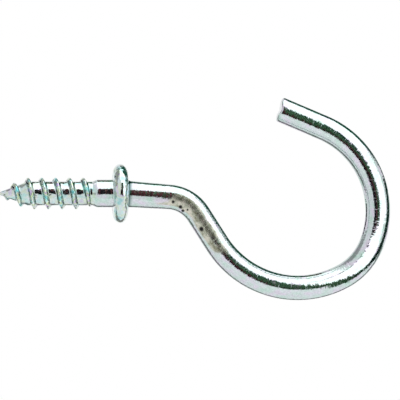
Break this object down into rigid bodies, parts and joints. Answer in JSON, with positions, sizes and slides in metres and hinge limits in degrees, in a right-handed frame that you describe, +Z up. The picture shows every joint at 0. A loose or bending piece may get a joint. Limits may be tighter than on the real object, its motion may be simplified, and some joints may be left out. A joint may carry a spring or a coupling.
{
  "type": "cup hook",
  "caption": "Shouldered cup hook: a wood screw with a gimlet point, a round collar that seats on the wall, and a bent wire bow with an open mouth.",
  "frame": {"origin": "centre of the collar's flat seat, where the screw's axis meets the wall", "axes": "+X along the screw's axis, out of the wall; +Z up, towards the hook's free end; the wire bends in the XZ plane"},
  "size_m": [0.0566, 0.0084, 0.0293],
  "materials": {
    "zinc_plated_steel": "bright zinc plating, glossy, faint cool tints"
  },
  "bodies": {
    "root": {"cup_hook": "zinc_plated_steel"}
  },
  "joints": []
}
